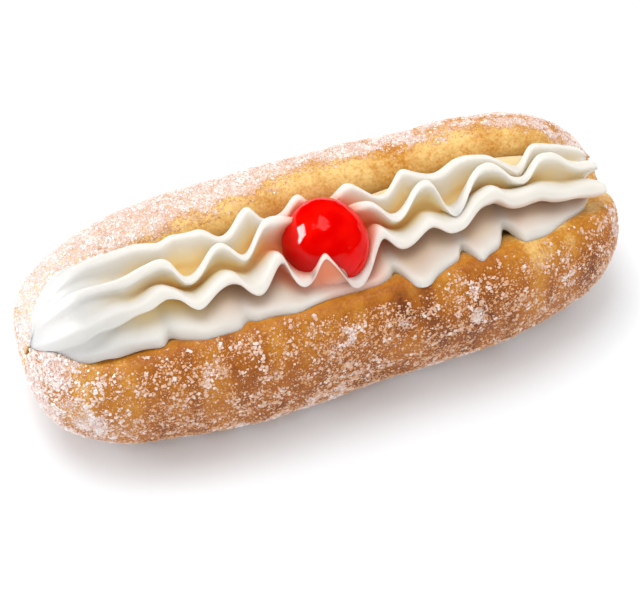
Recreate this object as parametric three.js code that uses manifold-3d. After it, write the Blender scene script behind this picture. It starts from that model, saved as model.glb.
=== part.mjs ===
// A finger doughnut: a sugared bun, cut along its top and opened, with a piped rope of whipped cream
// in the cut and one glace cherry pressed into the cream.
// Millimetres, +Z up. The origin is on the flat spot that the bun rests on, straight below the middle of
// the bun's long axis. +X runs along the bun from its shut end to its open end, and -Y is the side that
// the cut leans towards.
import * as THREE from "three";
import { mergeVertices } from "three/addons/utils/BufferGeometryUtils.js";
import Module from "manifold-3d";

const wasm = await Module();
wasm.setup();
const { degToRad, clamp, lerp, smoothstep } = THREE.MathUtils;

// Driving dimensions
const FIT_GAP = 0.35; // air between two pieces that touch in the real food

const BUN = {
  length: 150,
  halfWidth: 29,
  halfHeight: 22.5,
  planPower: 3.3, // how blunt the ends are: 2 is an ellipse, more is squarer
  sectionPower: 2.6,
  axisHeight: 21.3, // a little less than the half height, which leaves the flat spot
  lean: degToRad(12), // the section leans this far to the front
  bumpHeight: 0.7, // unevenness of the fried crust
};
const CUT = {
  lean: degToRad(18), // the opening looks up and this far to the front
  halfAngle: degToRad(29.5),
  lipAngle: degToRad(13), // the crust rolls over into the cut within this angle
  lipPower: 2.6,
  floorRadius: 4, // the cut stops this far above the bun's axis
  shutShare: 0.04, // what is left of the opening at the shut end
  shutLength: 1,
  opensOver: 14, // the opening grows to its full width over this length
};
const CREAM = {
  start: -73.5,
  startRound: 13, // length of the rounded start
  startPower: 1.3,
  end: 64.5,
  tipLength: 5, // the two middle ridges are drawn out past the end face
  endDish: 3,
  centreHeight: 14.5, // middle of the piped rope above the bun's axis
  startDrop: 5,
  endDrop: 4,
  endShift: 0.8, // the rope moves this far to the front at its end
  frontReach: 15.5, // from the rope's middle to its ridges
  backReach: 16.5,
  topReach: 11.8,
  startShares: { front: 0.92, back: 1.12 }, // the reach at the start and at the end, as shares of the above
  endShares: { front: 0.85, back: 0.76 },
  ridgeSpacing: degToRad(36),
  topRidge: degToRad(6), // angle of the highest ridge
  ridgesInFront: 2,
  ridgesBehind: 1,
  ridgePower: 1.8, // more makes thinner ridges
  grooveShare: 0.5, // depth of the grooves between ridges as a share of the reach
  backGroove: 0.2, // the last groove, against the back of the cut, is shallow
  rootSway: 0.35, // the foot of a ridge follows the strokes less than its crest
};
const WAVE = {
  length: 15.2, // one stroke to the back and one to the front
  sideways: 3.8,
  upwards: 1.3,
  lean: 0.39, // strokes run a little askew, so each also moves along the bun
  offset: 2,
  bunching: 4.6, // strokes lie closer together beside the cherry
  bunchPlace: -10.3,
  bunchWidth: 6.5,
  calmShare: 0.35, // the strokes get this much smaller towards the open end
};
const CHERRY = {
  radius: 10.1,
  squash: 0.96,
  along: -1.7,
  across: -0.6,
  height: 22.6, // above the bun's axis, along the cut
  dimple: 0.5,
};
const SUGAR = {
  clumps: 80,
  smallest: 0.9, // edge lengths of a clump of sugar
  largest: 1.7,
  sunk: 0.25, // share of the edge that lies below the crust
  lengthShare: 0.92,
  lipClearance: degToRad(11),
  floorClearance: 5,
};

// Shared form: every section is drawn round the bun's axis, from the direction of the cut

/** A point given along the bun, across the cut and out of the cut, in the part's frame. */
function toPart(along, across, out) {
  const cos = Math.cos(CUT.lean);
  const sin = Math.sin(CUT.lean);
  return new THREE.Vector3(along, across * cos - out * sin, across * sin + out * cos + BUN.axisHeight);
}

/** Half extent of a unit superellipse at a share of its half length. */
function superellipse(share, power) {
  return Math.pow(Math.max(0, 1 - Math.pow(Math.min(1, Math.abs(share)), power)), 1 / power);
}

/** A closed surface: a sphere's grid, poles at the two ends, each vertex moved to point(along, around). */
function closedSurface(point, stepsAlong, stepsAround) {
  const grid = new THREE.SphereGeometry(1, stepsAround, stepsAlong);
  const position = grid.getAttribute("position");
  for (let i = 0; i < position.count; i++) {
    const row = Math.floor(i / (stepsAround + 1));
    const around = (i % (stepsAround + 1)) / stepsAround;
    position.setXYZ(i, ...point(row / stepsAlong, around % 1).toArray());
  }
  grid.deleteAttribute("normal");
  grid.deleteAttribute("uv");
  return mergeVertices(grid, 1e-4);
}

function solidOf(geometry) {
  const vertProperties = new Float32Array(geometry.getAttribute("position").array);
  const triVerts = new Uint32Array(geometry.index.array);
  return new wasm.Manifold(new wasm.Mesh({ numProp: 3, vertProperties, triVerts }));
}

function geometryOf(solid) {
  const { vertProperties, triVerts } = solid.getMesh();
  const geometry = new THREE.BufferGeometry();
  geometry.setAttribute("position", new THREE.BufferAttribute(vertProperties, 3));
  geometry.setIndex(new THREE.BufferAttribute(triVerts, 1));
  geometry.computeVertexNormals();
  return geometry;
}

function largestBody(solid) {
  return solid.decompose().reduce((kept, body) => (body.volume() > kept.volume() ? body : kept));
}

// Bun: fried dough, one piece, opened like a mouth along the cut
const BUN_STEPS = { along: 42, floor: 2, lip: 6, crust: 22 };
const BUN_AROUND = BUN_STEPS.floor + 2 * BUN_STEPS.lip + BUN_STEPS.crust;
const END_CROWDING = 1.8; // rings lie closer together towards the ends

/** Share of the full opening: nearly shut at the left end, wide open through the right end. */
function opening(along) {
  const fromEnd = clamp((along + BUN.length / 2 - CUT.shutLength) / CUT.opensOver, 0, 1);
  return lerp(CUT.shutShare, 1, Math.pow(Math.sin((fromEnd * Math.PI) / 2), 1.3));
}

/** Distance from the axis to the crust, before the cut. */
function crustRadius(along, angle) {
  const fromTop = angle - CUT.lean + BUN.lean;
  const side = Math.abs(Math.sin(fromTop)) / BUN.halfWidth;
  const rise = Math.abs(Math.cos(fromTop)) / BUN.halfHeight;
  const power = BUN.sectionPower;
  const round = Math.pow(Math.pow(side, power) + Math.pow(rise, power), -1 / power);
  const bump =
    Math.sin(0.062 * along + 2 * angle + 0.9) * 0.6 + Math.sin(0.131 * along - angle + 2.2) * 0.4;
  return superellipse((2 * along) / BUN.length, BUN.planPower) * (round + BUN.bumpHeight * bump);
}

/** Distance from the axis to the bun's surface: crust, rolled lip or the floor of the cut. */
function bunRadius(along, angle, halfAngle) {
  const crust = crustRadius(along, angle);
  const floor = Math.min(CUT.floorRadius, 0.45 * crust);
  const upLip = clamp((Math.abs(angle) - halfAngle) / CUT.lipAngle, 0, 1);
  return lerp(floor, crust, superellipse(1 - upLip, CUT.lipPower));
}

/** Angle round the axis for a share of the way round: floor, back lip, crust, front lip. */
function bunAngle(around, halfAngle) {
  const lipEnd = halfAngle + CUT.lipAngle;
  let step = around * BUN_AROUND;
  if (step <= BUN_STEPS.floor) return lerp(-halfAngle, halfAngle, step / BUN_STEPS.floor);
  step -= BUN_STEPS.floor;
  if (step <= BUN_STEPS.lip) return lerp(halfAngle, lipEnd, step / BUN_STEPS.lip);
  step -= BUN_STEPS.lip;
  if (step <= BUN_STEPS.crust) return lerp(lipEnd, 2 * Math.PI - lipEnd, step / BUN_STEPS.crust);
  step -= BUN_STEPS.crust;
  return lerp(2 * Math.PI - lipEnd, 2 * Math.PI - halfAngle, step / BUN_STEPS.lip);
}

/** A point of the bun. Swollen by a gap, it is the tool that trims the cream. */
function bunPoint(alongShare, around, gap) {
  const fromMiddle = 2 * alongShare - 1;
  const reach = 1 - Math.pow(1 - Math.abs(fromMiddle), END_CROWDING);
  const along = (Math.sign(fromMiddle) * reach * BUN.length) / 2;
  const halfAngle = CUT.halfAngle * opening(along);
  const angle = bunAngle(around, halfAngle);
  const folded = angle > Math.PI ? angle - 2 * Math.PI : angle;
  const atPole = Math.abs(fromMiddle) === 1;
  const radius = atPole ? 0 : bunRadius(along, folded, halfAngle) + gap;
  const narrowed = atPole ? 0 : Math.sign(folded) * Math.min(Math.abs(folded), gap / CUT.floorRadius / 3);
  const point = toPart(
    along + Math.sign(fromMiddle) * (atPole ? gap : 0),
    radius * Math.sin(folded - narrowed),
    radius * Math.cos(folded - narrowed),
  );
  if (gap === 0) point.z = Math.max(point.z, 0);
  return point;
}

function bunSurface(gap) {
  const point = (along, around) => bunPoint(along, around, gap);
  return closedSurface(point, BUN_STEPS.along, BUN_AROUND);
}

/** Fractional part of a multiple of a constant: an even spread with no random draw. */
function spread(index, constant) {
  const value = 0.5 + index * constant;
  return value - Math.floor(value);
}

/** Clumps of sugar on the crust, spread evenly by a two-way sequence, clear of the cut and of the floor. */
function sugarClumps() {
  const clumps = [];
  for (let index = 1; clumps.length < SUGAR.clumps; index++) {
    const along = (spread(index, 0.7548776662) - 0.5) * SUGAR.lengthShare * BUN.length;
    const halfAngle = CUT.halfAngle * opening(along);
    const lipEnd = halfAngle + CUT.lipAngle + SUGAR.lipClearance;
    const angle = lerp(lipEnd, 2 * Math.PI - lipEnd, spread(index, 0.569840291));
    const edge = lerp(SUGAR.smallest, SUGAR.largest, spread(index, 0.3819660113));
    const radius = crustRadius(along, angle) + edge * (0.5 - SUGAR.sunk);
    const centre = toPart(along, radius * Math.sin(angle), radius * Math.cos(angle));
    if (centre.z < SUGAR.floorClearance) continue;
    const clump = new THREE.BoxGeometry(edge, edge * 0.8, edge * 0.9);
    clump.deleteAttribute("normal");
    clump.deleteAttribute("uv");
    const turn = new THREE.Euler(index * 1.3, index * 2.1, index * 0.7);
    clump.applyMatrix4(new THREE.Matrix4().makeRotationFromEuler(turn).setPosition(centre));
    clumps.push(solidOf(mergeVertices(clump, 1e-4)));
  }
  return clumps;
}

function makeBun() {
  const dough = solidOf(bunSurface(0));
  return geometryOf(sugarClumps().reduce((bun, clump) => bun.add(clump), dough));
}

// Cherry: one whole candied cherry, a slightly flattened ball with soft dents
const CHERRY_STEPS = { along: 16, around: 24 };
const cherryCentre = toPart(CHERRY.along, CHERRY.across, CHERRY.height);

function cherryPoint(alongShare, around, gap) {
  const polar = Math.PI * alongShare;
  const turn = 2 * Math.PI * around;
  const direction = new THREE.Vector3(
    Math.sin(polar) * Math.cos(turn),
    Math.sin(polar) * Math.sin(turn),
    Math.cos(polar),
  );
  const dents = Math.sin(3 * direction.x + 2 * direction.y + 1) * Math.sin(3 * direction.z - 2 * direction.y);
  const radius = CHERRY.radius + CHERRY.dimple * dents * Math.sin(polar) + gap;
  direction.z *= CHERRY.squash;
  return direction.multiplyScalar(radius).add(cherryCentre);
}

function cherrySurface(gap) {
  const point = (along, around) => cherryPoint(along, around, gap);
  return closedSurface(point, CHERRY_STEPS.along, CHERRY_STEPS.around);
}

// Cream: a star-nozzle rope piped in side-to-side strokes, with a wedge below it that fills the cut
const CREAM_STEPS = { start: 7, body: 68, endFace: 3, ridge: 6, wedge: 10 };
const CREAM_ALONG = CREAM_STEPS.start + CREAM_STEPS.body + CREAM_STEPS.endFace;
const CREAM_RIDGES = CREAM.ridgesInFront + 1 + CREAM.ridgesBehind;
const CREAM_AROUND = CREAM_RIDGES * CREAM_STEPS.ridge + CREAM_STEPS.wedge;
const STAR_FRONT = CREAM.topRidge - (CREAM.ridgesInFront + 0.5) * CREAM.ridgeSpacing;
const STAR_BACK = CREAM.topRidge + (CREAM.ridgesBehind + 0.5) * CREAM.ridgeSpacing;

/** Side-to-side stroke of the piping bag along the bun, from -1 at the front to 1 at the back. */
function stroke(along) {
  const bunched = WAVE.bunching * Math.tanh((along - WAVE.bunchPlace) / WAVE.bunchWidth);
  const phase = (2 * Math.PI * (along + WAVE.offset + bunched)) / WAVE.length;
  const grows = smoothstep(along, -60, -38) * (1 - smoothstep(along, 46, 61));
  const calms = 1 - WAVE.calmShare * smoothstep(along, -5, 25);
  return grows * calms * Math.cos(phase);
}

/** How far a place round the rope follows the strokes: crests most, grooves less, the sides not at all. */
function looseness(angle) {
  const held =
    angle > 0
      ? smoothstep(angle, degToRad(12), degToRad(64))
      : smoothstep(-angle, degToRad(20), degToRad(88));
  return (1 - held) * lerp(CREAM.rootSway, 1, Math.pow(ridge(angle), 0.7));
}

/** 1 on a ridge's crest and 0 in the groove beside it. */
function ridge(angle) {
  const turns = (angle - CREAM.topRidge) / CREAM.ridgeSpacing;
  return Math.pow(0.5 + 0.5 * Math.cos(2 * Math.PI * turns), CREAM.ridgePower);
}

/** 0 over most of the bun and 1 at the open end. */
function nearEnd(along) {
  return smoothstep(along, 46, 66);
}

/** Height of the rope's middle above the bun's axis: it dips at both ends. */
function ropeHeight(along) {
  const start = CREAM.startDrop * (1 - smoothstep(along, CREAM.start, CREAM.start + 16));
  return CREAM.centreHeight - start - CREAM.endDrop * nearEnd(along);
}

/** Reach of the ridges at one angle: an ellipse, fuller at the back of the start and leaner at the end. */
function ridgeReach(along, angle) {
  const side = Math.sin(angle) < 0 ? "front" : "back";
  const startShare = lerp(CREAM.startShares[side], 1, smoothstep(along, -60, -40));
  const endShare = lerp(1, CREAM.endShares[side], nearEnd(along));
  const sideReach = (side === "front" ? CREAM.frontReach : CREAM.backReach) * startShare * endShare;
  return 1 / Math.hypot(Math.sin(angle) / sideReach, Math.cos(angle) / CREAM.topReach);
}

/** Reach of the cream from the rope's middle: ridged rope on top, and the wedge of the cut below. */
function creamReach(along, angle) {
  const onTop = angle > STAR_FRONT && angle < STAR_BACK;
  const behind = smoothstep(angle, CREAM.topRidge + CREAM.ridgeSpacing, STAR_BACK);
  const groove = lerp(CREAM.grooveShare, CREAM.backGroove, behind);
  const depth = groove * lerp(0.25, 1, smoothstep(along, -62, -36));
  const rope = ridgeReach(along, angle) * (1 - depth * (1 - (onTop ? ridge(angle) : 0)));
  if (onTop) return rope;
  const middle = ropeHeight(along);
  const slope = Math.tan(CUT.halfAngle * opening(along));
  const wall = (middle * slope) / Math.max(0.05, Math.abs(Math.sin(angle)) - Math.cos(angle) * slope);
  const toFloor = (middle - CUT.floorRadius - FIT_GAP) / Math.max(0.05, -Math.cos(angle));
  const wedge = Math.cos(angle) < -0.2 ? Math.min(wall - FIT_GAP, toFloor) : wall - FIT_GAP;
  const pastStar = angle > 0 ? angle - STAR_BACK : STAR_FRONT - angle;
  return lerp(rope, wedge, smoothstep(pastStar, 0, degToRad(18)));
}

/** Angle round the rope: even steps over the ridges, wider ones down the wedge. */
function creamAngle(around) {
  const starSteps = CREAM_RIDGES * CREAM_STEPS.ridge;
  const step = around * CREAM_AROUND;
  if (step <= starSteps) return lerp(STAR_FRONT, STAR_BACK, step / starSteps);
  return lerp(STAR_BACK, STAR_FRONT + 2 * Math.PI, (step - starSteps) / CREAM_STEPS.wedge);
}

/** Place along the bun and share of the full reach, over the round start, the body and the end face. */
function creamStation(alongShare, angle) {
  const step = alongShare * CREAM_ALONG;
  const bodyStart = CREAM.start + CREAM.startRound;
  const middleRidges = smoothstep(Math.cos(angle + degToRad(12)), 0.5, 0.9);
  const tip = CREAM.end + CREAM.tipLength * ridge(angle) * middleRidges;
  if (step <= CREAM_STEPS.start) {
    const quarter = ((step / CREAM_STEPS.start) * Math.PI) / 2;
    const share = Math.pow(Math.sin(quarter), CREAM.startPower);
    return { along: bodyStart - CREAM.startRound * Math.cos(quarter), share };
  }
  const bodyStep = step - CREAM_STEPS.start;
  if (bodyStep <= CREAM_STEPS.body) {
    return { along: lerp(bodyStart, tip, bodyStep / CREAM_STEPS.body), share: 1 };
  }
  const inwards = (bodyStep - CREAM_STEPS.body) / CREAM_STEPS.endFace;
  return { along: lerp(tip, CREAM.end - CREAM.endDish, inwards), share: 1 - inwards };
}

function creamPoint(alongShare, around) {
  const angle = creamAngle(around);
  const folded = angle > Math.PI ? angle - 2 * Math.PI : angle;
  const { along, share } = creamStation(alongShare, folded);
  const reach = share * creamReach(along, folded);
  const sway = looseness(folded) * stroke(along);
  return toPart(
    along + WAVE.lean * WAVE.sideways * sway,
    reach * Math.sin(folded) + WAVE.sideways * sway - CREAM.endShift * nearEnd(along),
    ropeHeight(along) + reach * Math.cos(folded) + WAVE.upwards * sway,
  );
}

function makeCream() {
  const piped = solidOf(closedSurface(creamPoint, CREAM_ALONG, CREAM_AROUND));
  const trimmed = piped.subtract(solidOf(bunSurface(FIT_GAP))).subtract(solidOf(cherrySurface(FIT_GAP)));
  return geometryOf(largestBody(trimmed));
}

// Assembly: three pieces that only rest in one another
function piece(name, geometry, colour, roughness) {
  const material = new THREE.MeshStandardMaterial({ color: colour, roughness, metalness: 0 });
  const mesh = new THREE.Mesh(geometry, material);
  mesh.name = name;
  return mesh;
}

const doughnut = new THREE.Group();
doughnut.add(
  piece("bun", makeBun(), 0xc8883a, 0.8),
  piece("cream", makeCream(), 0xf3ecdc, 0.5),
  piece("cherry", cherrySurface(0), 0xd4120e, 0.15),
);

export default doughnut;
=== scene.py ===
import bpy
import numpy as np
from mathutils import Matrix


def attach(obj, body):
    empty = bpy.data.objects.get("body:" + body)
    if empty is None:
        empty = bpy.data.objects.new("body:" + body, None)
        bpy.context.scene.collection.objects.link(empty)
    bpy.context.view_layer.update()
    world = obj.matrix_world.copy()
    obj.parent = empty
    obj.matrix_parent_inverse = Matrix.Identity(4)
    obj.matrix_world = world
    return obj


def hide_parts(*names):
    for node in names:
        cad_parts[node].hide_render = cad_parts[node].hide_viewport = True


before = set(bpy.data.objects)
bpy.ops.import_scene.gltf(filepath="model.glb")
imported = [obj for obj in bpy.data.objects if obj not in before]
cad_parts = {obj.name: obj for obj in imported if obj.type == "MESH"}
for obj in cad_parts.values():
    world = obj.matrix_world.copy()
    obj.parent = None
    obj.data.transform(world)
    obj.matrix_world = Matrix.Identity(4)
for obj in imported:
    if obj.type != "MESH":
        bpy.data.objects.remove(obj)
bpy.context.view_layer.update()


# Bun
# A finger of yeast dough, fried golden brown, then cut along its top and opened like a mouth.
# The crust is thin, leathery and uneven. It is palest along the rolled lips of the cut, which stay
# free of sugar, and the dough is one piece underneath.
MM = 0.001  # metres; sizes are in millimetres until a mesh is made
BUN_LENGTH = 150.0
BUN_HALF_WIDTH = 29.0
BUN_HALF_HEIGHT = 22.5
BUN_AXIS_HEIGHT = 21.3
BUN_LEAN = np.radians(12)
BUN_PLAN_POWER = 3.3
BUN_SECTION_POWER = 2.6
BUN_SWELLING = 0.7
BUN_BACK_TAPER = 0.8
CUT_LEAN = np.radians(18)
CUT_HALF_ANGLE = np.radians(29.5)
CUT_FLOOR_RADIUS = 4.0
CUT_FLOOR_SHARE = 0.45
CUT_SHUT_SHARE = 0.04
CUT_OPENS_OVER = 14.0
LIP_ANGLE = np.radians(13)
LIP_POWER = 2.6
BLISTERS, SMALL_BLISTERS, WRINKLES = 0.30, 0.16, 0.07
CREASE_PLACE, CREASE_DEPTH = 15.5, 1.3
LATTICE_CELLS = 32


def smoothstep(value, low, high):
    """0 below low, 1 above high, and the cubic 3t^2 - 2t^3 of the way t between them."""
    t = np.clip((np.asarray(value, float) - low) / (high - low), 0, 1)
    return t * t * (3 - 2 * t)


def between(first, last, share):
    """The straight way from first, at share 0, to last, at share 1."""
    return first + (last - first) * share


def superellipse(share, power):
    """Half extent of a unit superellipse: the power-th root of 1 - |share|^power."""
    return np.maximum(0, 1 - np.minimum(1, np.abs(share)) ** power) ** (1 / power)


def soft_noise(points, cell, seed):
    """A smooth random field from -1 to 1: random numbers on a lattice of the given cell size, blended
    between the eight corners of each cell with a smooth step."""
    lattice = np.random.default_rng(seed).uniform(-1, 1, (LATTICE_CELLS,) * 3)
    scaled = points / cell
    corner = np.floor(scaled).astype(int)
    inner = scaled - corner
    inner = inner * inner * (3 - 2 * inner)
    total = np.zeros(points.shape[:-1])
    for step in np.ndindex(2, 2, 2):
        weight = np.prod(np.where(step, inner, 1 - inner), axis=-1)
        i, j, k = np.moveaxis((corner + step) % LATTICE_CELLS, -1, 0)
        total += weight * lattice[i, j, k]
    return total


def to_part(along, across, out):
    """From along the bun, across the cut and out of the cut to the part's frame: a turn about the bun's
    length by the cut's lean, then a lift to the height of the bun's axis. Millimetres."""
    cos, sin = np.cos(CUT_LEAN), np.sin(CUT_LEAN)
    parts = along, across * cos - out * sin, across * sin + out * cos + BUN_AXIS_HEIGHT
    return np.stack(np.broadcast_arrays(*parts), axis=-1)


def cut_opening(along):
    """Share of the full opening: nearly shut at the left end, then a quarter sine to wide open."""
    from_end = np.clip((along + BUN_LENGTH / 2 - 1) / CUT_OPENS_OVER, 0, 1)
    return between(CUT_SHUT_SHARE, 1, np.sin(from_end * np.pi / 2) ** 1.3)


def crust_radius(along, angle):
    """Distance from the axis to the crust: a leaning superellipse section, scaled along the bun by a
    superellipse plan, with two long sine swellings. The back half is tapered a little at the right end."""
    from_top = angle - CUT_LEAN + BUN_LEAN
    side = np.abs(np.sin(from_top)) / BUN_HALF_WIDTH
    rise = np.abs(np.cos(from_top)) / BUN_HALF_HEIGHT
    section = (side**BUN_SECTION_POWER + rise**BUN_SECTION_POWER) ** (-1 / BUN_SECTION_POWER)
    swelling = 0.6 * np.sin(0.062 * along + 2 * angle + 0.9) + 0.4 * np.sin(0.131 * along - angle + 2.2)
    down = np.degrees(angle)
    back = smoothstep(down, -8, 14) * (1 - smoothstep(down, 38, 74))
    shorter = BUN_BACK_TAPER * smoothstep(along, 60, 73) * back
    radius = superellipse(2 * along / BUN_LENGTH, BUN_PLAN_POWER) * (section + BUN_SWELLING * swelling)
    return radius * (1 - shorter)


def crust_relief(points, along, angle):
    """Small unevenness of the fried skin in millimetres: three random fields from soft blisters to a fine
    wrinkle, and one crease down the front where the dough folded as it fried."""
    blisters = BLISTERS * soft_noise(points, 8.0, 11) + SMALL_BLISTERS * soft_noise(points, 3.4, 12)
    wrinkle = WRINKLES * soft_noise(points, 1.5, 13)
    down = np.degrees(angle)
    beside = along - CREASE_PLACE - 0.10 * (down + 50)
    crease = np.where(beside < 0, np.exp(-((beside / 5.0) ** 2)), np.exp(-((beside / 2.0) ** 2)))
    crease = crease * smoothstep(down, -72, -60) * (1 - smoothstep(down, -44, -38))
    return blisters + wrinkle - CREASE_DEPTH * crease


def bun_at(along, angle):
    """A point of the bun: the crust's radius, rolled over at the lips into the cut along a superellipse
    and down to the cut's floor, plus the skin's relief, and flat where it rests."""
    crust = crust_radius(along, angle)
    floor = np.minimum(CUT_FLOOR_RADIUS, CUT_FLOOR_SHARE * crust)
    up_lip = np.clip((np.abs(angle) - CUT_HALF_ANGLE * cut_opening(along)) / LIP_ANGLE, 0, 1)
    radius = between(floor, crust, superellipse(1 - up_lip, LIP_POWER))
    smooth = to_part(along, radius * np.sin(angle), radius * np.cos(angle))
    ends = smoothstep(BUN_LENGTH / 2 - np.abs(along), 0, 1.5)
    radius = radius + up_lip * ends * crust_relief(smooth, along, angle)
    points = to_part(along, radius * np.sin(angle), radius * np.cos(angle))
    points[..., 2] = np.maximum(points[..., 2], 0)
    return points


def past_lip(along, angle):
    """Angle in degrees from the end of the rolled lip, down the crust on either side of the cut."""
    return np.degrees(np.abs(angle) - CUT_HALF_ANGLE * cut_opening(along) - LIP_ANGLE)


BACK_EDGE_COVER, BACK_COVER = 0.3, 1.0
FRONT_EDGE_COVER, FRONT_COVER, RIGHT_FRONT_SHARE = 0.13, 0.33, 0.8
FOOT_COVER, LEFT_END_COVER, RIGHT_END_COVER = 1.0, 1.3, 0.75


def sugar_cover(points, along, angle):
    """Share of the crust that sugar covers: bare at the lips, heavy over the back half, along the foot and
    at the ends, where the bun was rolled in it, and thinner down the front. Three random fields, as the
    power of e, break it into patches, less so over the left of the back, where it lies evenly."""
    past = past_lip(along, angle) + 4 * soft_noise(points, 5.0, 23)
    back_edge = between(-10, 3, smoothstep(along, -58, 10))
    back = BACK_EDGE_COVER * smoothstep(past, back_edge - 5, back_edge)
    back = back + BACK_COVER * smoothstep(past, back_edge, back_edge + 9)
    front_edge = between(-6, 3, smoothstep(along, -25, 0)) - 5 * smoothstep(along, 14, 28)
    front = FRONT_EDGE_COVER * smoothstep(past, front_edge - 3, front_edge)
    front = front + FRONT_COVER * smoothstep(past, front_edge, front_edge + 7)
    front = front * between(1, RIGHT_FRONT_SHARE, smoothstep(along, 15, 45))
    cover = np.where(angle > 0, back, front)
    cover = np.maximum(cover, FOOT_COVER * (1 - smoothstep(points[..., 2], 6, 13)))
    left_end = LEFT_END_COVER * (1 - smoothstep(along, -74, -54)) * smoothstep(past, -8, 0)
    right_end = RIGHT_END_COVER * smoothstep(along, 60, 71) * smoothstep(past, -8, 0)
    cover = np.maximum(np.maximum(cover, left_end), right_end)
    patches = 0.6 * soft_noise(points, 9.0, 21) + 0.9 * soft_noise(points, 3.2, 22)
    patches = patches + 0.7 * soft_noise(points, 1.6, 24)
    evenly = np.where(angle > 0, (1 - smoothstep(along, -15, 25)) * (1 - smoothstep(past, 25, 55)), 0)
    patches = patches * (1 - 0.65 * evenly) + 0.3 * evenly
    underneath = smoothstep(np.degrees(np.abs(angle)), 140, 165)
    return np.clip(cover * np.exp(patches - 0.35) * (1 - 0.6 * underneath), 0, 1)


def closed_piece(name, rings, first_pole, last_pole):
    """A mesh object from rings of points carried along a path: quads between neighbouring rings, and a fan
    of triangles from each end ring to its pole. Points in millimetres, mesh in metres."""
    rows, columns = rings.shape[:2]
    points = np.concatenate([rings.reshape(-1, 3), [first_pole], [last_pole]]) * MM
    here = np.arange(rows * columns).reshape(rows, columns)
    beside = np.roll(here, -1, axis=1)
    quads = np.stack([here[:-1], here[1:], beside[1:], beside[:-1]], axis=-1).reshape(-1, 4)
    first = np.stack([here[0], beside[0], np.full(columns, rows * columns)], axis=-1)
    last = np.stack([beside[-1], here[-1], np.full(columns, rows * columns + 1)], axis=-1)
    mesh = bpy.data.meshes.new(name)
    mesh.from_pydata(points.tolist(), [], quads.tolist() + first.tolist() + last.tolist())
    mesh.shade_smooth()
    piece = bpy.data.objects.new(name, mesh)
    bpy.context.scene.collection.objects.link(piece)
    return piece


def paint(piece, name, values):
    """One number for each vertex, kept in the mesh for the material to read."""
    layer = piece.data.attributes.new(name, "FLOAT", "POINT")
    layer.data.foreach_set("value", np.ascontiguousarray(values, dtype=np.float32).ravel())


def new_material(piece, name):
    """A new finish on the piece, and the shader that its surface has."""
    material = bpy.data.materials.new(name)
    material.use_nodes = True
    piece.data.materials.append(material)
    return material, material.node_tree.nodes["Principled BSDF"]


def node(material, kind, sockets, **settings):
    """A shader node: its settings, and for each socket a value or the output that feeds it."""
    made = material.node_tree.nodes.new(kind)
    for name, value in settings.items():
        setattr(made, name, value)
    join(material, made, sockets)
    return made


def join(material, made, sockets):
    """Sets each named or numbered input of a node to a value, or links it to an output."""
    for name, value in sockets.items():
        if isinstance(value, bpy.types.NodeSocket):
            material.node_tree.links.new(value, made.inputs[name])
        else:
            made.inputs[name].default_value = value


def attribute(material, name):
    """The output of a vertex number painted on the mesh."""
    return node(material, "ShaderNodeAttribute", {}, attribute_name=name).outputs["Fac"]


def noise(material, cell, detail=2.0, roughness=0.5):
    """A cloudy random field over the piece's own coordinates, with the cell size in millimetres."""
    place = node(material, "ShaderNodeTexCoord", {}).outputs["Object"]
    sockets = {"Vector": place, "Scale": 1 / (cell * MM), "Detail": detail, "Roughness": roughness}
    return node(material, "ShaderNodeTexNoise", sockets).outputs["Fac"]


def math(material, operation, *values):
    """One arithmetic step on numbers or outputs."""
    return node(material, "ShaderNodeMath", dict(enumerate(values)), operation=operation).outputs[0]


def rise(material, value, low, high, top=1.0):
    """0 below low, top above high and a smooth step between."""
    sockets = {"Value": value, "From Min": low, "From Max": high, "To Min": 0.0, "To Max": top}
    return node(material, "ShaderNodeMapRange", sockets, interpolation_type="SMOOTHSTEP").outputs[0]


def mixed(material, share, first, last):
    """The first colour at share 0 and the last at share 1."""
    sockets = {0: share, 6: first, 7: last}
    return node(material, "ShaderNodeMix", sockets, data_type="RGBA").outputs[2]


BUN_RINGS = 250
BUN_FLOOR, BUN_LIP, BUN_CRUST = 8, 34, 262
END_CROWDING = 1.8
from_middle = np.linspace(-1, 1, BUN_RINGS + 2)[1:-1, None]
bun_along = np.sign(from_middle) * (1 - (1 - np.abs(from_middle)) ** END_CROWDING) * BUN_LENGTH / 2
bun_half = CUT_HALF_ANGLE * cut_opening(bun_along)
floor_steps = np.linspace(0, 1, BUN_FLOOR, endpoint=False)
lip_steps = np.linspace(0, 1, BUN_LIP, endpoint=False)
crust_steps = np.linspace(0, 1, BUN_CRUST, endpoint=False)
bun_angle = np.concatenate(
    [
        between(-bun_half, bun_half, floor_steps),
        bun_half + LIP_ANGLE * lip_steps,
        between(bun_half + LIP_ANGLE, 2 * np.pi - bun_half - LIP_ANGLE, crust_steps),
        2 * np.pi - bun_half - LIP_ANGLE * (1 - lip_steps),
    ],
    axis=1,
)
bun_angle = np.where(bun_angle > np.pi, bun_angle - 2 * np.pi, bun_angle)
bun_along = np.broadcast_to(bun_along, bun_angle.shape)
bun_rings = bun_at(bun_along, bun_angle)
left_pole, right_pole = to_part(-BUN_LENGTH / 2, 0.0, 0.0), to_part(BUN_LENGTH / 2, 0.0, 0.0)
bun = closed_piece("bun_crust", bun_rings, left_pole, right_pole)

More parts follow.
